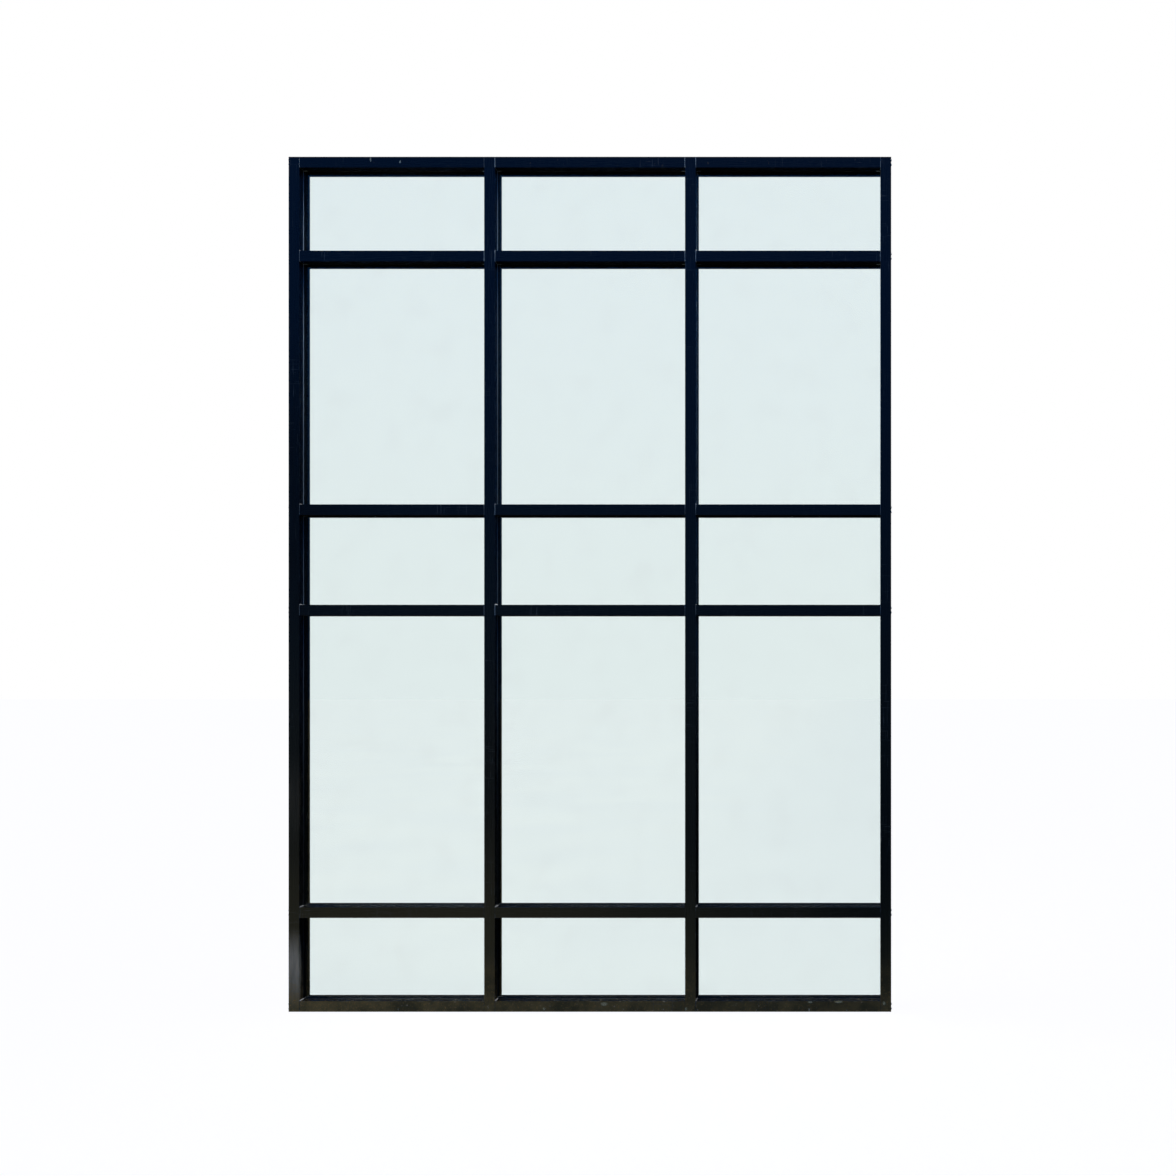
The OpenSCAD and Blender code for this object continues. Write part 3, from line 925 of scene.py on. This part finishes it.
class WALL_OT_jamb_screws(bpy.types.Operator):
    """Place the screw heads that hold the rails, on the outer sides of the jambs"""

    bl_idname = "wall.jamb_screws"
    bl_label = "Jamb screws"

    def execute(self, context):
        sizes = context.scene.wall_screws
        steel = bright_metal_material("stainless_steel", sizes.steel, 0.3)
        tree = screw_tree()
        for side, x, column in ((-1, WALL_LOW.x, "left"), (1, WALL_HIGH.x, "right")):
            places = []
            for level in LEVELS:
                low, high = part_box(f"{level}_{column}")
                middle = (low.z + high.z) / 2
                places += [
                    (x, -SPLINE_DEPTH, middle + SPLINE_RISE),
                    (x, -SPLINE_DEPTH, middle - SPLINE_RISE),
                    (x, SPLINE_DEPTH, middle - SPLINE_RISE),
                ]
            values = {
                "Head Radius": sizes.head_radius,
                "Head Height": sizes.head_height,
                "Washer Radius": sizes.washer_radius,
                "Recess Width": sizes.recess_width,
                "Turn": side * math.pi / 2,
                "Seed": context.scene.wall_stage.seed + side,
                "Material": steel,
            }
            grow(points_object(f"{column}_jamb_screws", places), tree, values)
        return {"FINISHED"}


class WALL_OT_ledge_grit(bpy.types.Operator):
    """Scatter grit on the ledges of the sill and the lower rail"""

    bl_idname = "wall.ledge_grit"
    bl_label = "Ledge grit"

    def execute(self, context):
        grit = context.scene.wall_grit
        front, back = WALL_LOW.y + grit.edge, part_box("front_gaskets")[0].y
        corners, faces = [], []
        for row in ("kick", "lower"):
            for column in COLUMNS:
                left, right, foot, _ = opening(row, column)
                first = len(corners)
                corners += [(left, front, foot), (right, front, foot)]
                corners += [(right, back, foot), (left, back, foot)]
                faces.append(tuple(range(first, first + 4)))
        mesh = bpy.data.meshes.new("ledge_grit")
        mesh.from_pydata(corners, [], faces)
        ledges = bpy.data.objects.new("ledge_grit", mesh)
        context.scene.collection.objects.link(ledges)
        values = {
            "Density": grit.density,
            "Largest": grit.largest,
            "Seed": context.scene.wall_stage.seed,
            "Material": grit_material(grit),
        }
        grow(ledges, grit_tree(), values)
        return {"FINISHED"}


class WALL_OT_stage(bpy.types.Operator):
    """Set the floor, the light and the camera"""

    bl_idname = "wall.stage"
    bl_label = "Stage"

    def execute(self, context):
        make_lamps(context.scene)
        make_floor(context.scene.wall_stage)
        make_sky(context.scene, context.scene.wall_stage)
        context.scene.view_settings.view_transform = "Standard"
        make_camera(context.scene, context.scene.wall_stage)
        return {"FINISHED"}


def straight_view(tree):
    """One for the eye and for what it sees through glass, zero for light that bounced off a surface."""
    path = new_node(tree, "ShaderNodeLightPath").outputs
    bounces = maths(tree, "ADD", path["Glossy Depth"], path["Diffuse Depth"])
    unbounced = maths(tree, "LESS_THAN", bounces, 0.5)
    through = maths(tree, "MULTIPLY", path["Is Transmission Ray"], unbounced)
    return maths(tree, "MAXIMUM", path["Is Camera Ray"], through)


def make_floor(stage):
    """A plain pale floor under the wall, which throws a soft warm light up at it."""
    reach = stage.floor_reach
    mesh = bpy.data.meshes.new("floor")
    corners = [(-reach, -reach, 0), (reach, -reach, 0), (reach, reach, 0), (-reach, reach, 0)]
    mesh.from_pydata(corners, [], [(0, 1, 2, 3)])
    floor = bpy.data.objects.new("floor", mesh)
    bpy.context.scene.collection.objects.link(floor)
    material, tree, _ = start_material("pale_floor")
    matt = new_node(tree, "ShaderNodeBsdfDiffuse", {"Color": stage.floor_colour})
    glow = new_node(tree, "ShaderNodeEmission", {"Color": stage.floor_glow})
    seen = new_node(tree, "ShaderNodeAddShader", {0: matt.outputs[0], 1: glow.outputs[0]})
    place = object_place(tree)
    parts = parts_of(tree, place)
    patches = mapped(tree, noise(tree, place, 0.9, 2.0), 0.3, 0.7, 0.45, 1.0)
    in_front = mapped(tree, parts["Y"], -0.1, -0.9, 0.02, 1.0)
    to_the_left = mapped(tree, parts["X"], 1.8, -1.8, 0.1, 1.0)
    power = maths(tree, "MULTIPLY", maths(tree, "MULTIPLY", patches, in_front), to_the_left)
    once = maths(tree, "LESS_THAN", new_node(tree, "ShaderNodeLightPath").outputs["Glossy Depth"], 1.5)
    power = maths(tree, "MULTIPLY", power, once)
    bounce = new_node(tree, "ShaderNodeEmission", {"Color": stage.bounce_colour, "Strength": power})
    shares = {0: straight_view(tree), 1: bounce.outputs[0], 2: seen.outputs[0]}
    mix = new_node(tree, "ShaderNodeMixShader", shares)
    tree.links.new(mix.outputs[0], tree.nodes["Material Output"].inputs["Surface"])
    mesh.materials.append(material)


def make_sky(scene, stage):
    """A white room for the eye, with a blue front and a dark back for the light that falls on the wall."""
    world = bpy.data.worlds.new("studio")
    world.use_nodes = True
    scene.world = world
    tree = world.node_tree
    tree.nodes.clear()
    place = new_node(tree, "ShaderNodeTexCoord").outputs["Generated"]
    parts = parts_of(tree, place)
    front = blended(tree, mapped(tree, parts["Z"], -0.02, 0.35), stage.horizon_colour, stage.sky_colour)
    front = blended(tree, mapped(tree, parts["Z"], 0.6, 0.85), front, stage.zenith_colour)
    cast = blended(tree, mapped(tree, parts["Y"], -0.25, 0.15), front, stage.back_colour)
    tone = blended(tree, straight_view(tree), cast, (1.0, 1.0, 1.0, 1.0))
    shine = new_node(tree, "ShaderNodeBackground", {"Color": tone, "Strength": 1.0})
    tree.links.new(shine.outputs[0], new_node(tree, "ShaderNodeOutputWorld").inputs["Surface"])


def make_lamps(scene):
    """Softboxes around the wall, which light the wall alone."""
    lit = {name: bpy.data.collections.new(name) for name in ("wall_pieces", "corner_beads")}
    for piece in scene.objects:
        if piece.type == "MESH" and piece.name != "floor":
            lit["wall_pieces"].objects.link(piece)
    lit["corner_beads"].objects.link(scene.objects["corner_sealant"])
    middle = Vector((0.0, 0.0, WALL_HIGH.z / 2))
    for name, place, size, power, receivers in LAMPS:
        light = bpy.data.lights.new(name, "AREA")
        light.shape = "SQUARE"
        light.size = size
        light.energy = power
        lamp = bpy.data.objects.new(name, light)
        lamp.location = place
        lamp.rotation_euler = (middle - Vector(place)).to_track_quat("-Z", "Y").to_euler()
        lamp.visible_camera = False
        lamp.visible_transmission = False
        lamp.light_linking.receiver_collection = lit[receivers]
        scene.collection.objects.link(lamp)


def make_camera(scene, stage):
    """A level camera square to the wall, shifted to frame it as the picture does."""
    metres_per_pixel = (WALL_HIGH.x - WALL_LOW.x) / (stage.right_column - stage.left_column)
    middle_column = (stage.left_column + stage.right_column) / 2
    data = bpy.data.cameras.new("eye")
    data.sensor_width = stage.sensor_width
    data.lens = stage.sensor_width * stage.eye_distance / (stage.picture_side * metres_per_pixel)
    data.shift_x = (stage.picture_side / 2 - stage.eye_column) / stage.picture_side
    data.shift_y = (stage.eye_row - stage.picture_side / 2) / stage.picture_side
    camera = bpy.data.objects.new("eye", data)
    camera.location = (
        (stage.eye_column - middle_column) * metres_per_pixel,
        WALL_LOW.y - stage.eye_distance,
        (stage.foot_row - stage.eye_row) * metres_per_pixel,
    )
    camera.rotation_euler = (math.radians(90), 0, 0)
    scene.collection.objects.link(camera)
    scene.camera = camera


STEPS = (
    WALL_OT_anodised_frame,
    WALL_OT_glass_units,
    WALL_OT_gaskets_and_seals,
    WALL_OT_corner_sealant,
    WALL_OT_jamb_screws,
    WALL_OT_ledge_grit,
    WALL_OT_stage,
)
SETTINGS = {
    "wall_frame": FrameFinish,
    "wall_glass": GlassFinish,
    "wall_seals": SealFinish,
    "wall_screws": ScrewSizes,
    "wall_grit": GritSettings,
    "wall_stage": StageSettings,
}


class WALL_PT_steps(bpy.types.Panel):
    """Lists the steps that dress the wall"""

    bl_idname = "WALL_PT_steps"
    bl_label = "Window Wall"
    bl_space_type = "VIEW_3D"
    bl_region_type = "UI"
    bl_category = "Window Wall"

    def draw(self, context):
        for step in STEPS:
            self.layout.operator(step.bl_idname)


def register():
    """Registers the settings, steps and panel."""
    for settings in SETTINGS.values():
        bpy.utils.register_class(settings)
    for name, settings in SETTINGS.items():
        setattr(bpy.types.Scene, name, PointerProperty(type=settings))
    for step in STEPS:
        bpy.utils.register_class(step)
    bpy.utils.register_class(WALL_PT_steps)


def unregister():
    """Removes what register added."""
    bpy.utils.unregister_class(WALL_PT_steps)
    for step in reversed(STEPS):
        bpy.utils.unregister_class(step)
    for name, settings in SETTINGS.items():
        delattr(bpy.types.Scene, name)
        bpy.utils.unregister_class(settings)


def main():
    """Dresses the wall."""
    register()
    bpy.ops.wall.anodised_frame()
    bpy.ops.wall.glass_units()
    bpy.ops.wall.gaskets_and_seals()
    bpy.ops.wall.corner_sealant()
    bpy.ops.wall.jamb_screws()
    bpy.ops.wall.ledge_grit()
    bpy.ops.wall.stage()


if __name__ == "__main__":
    main()
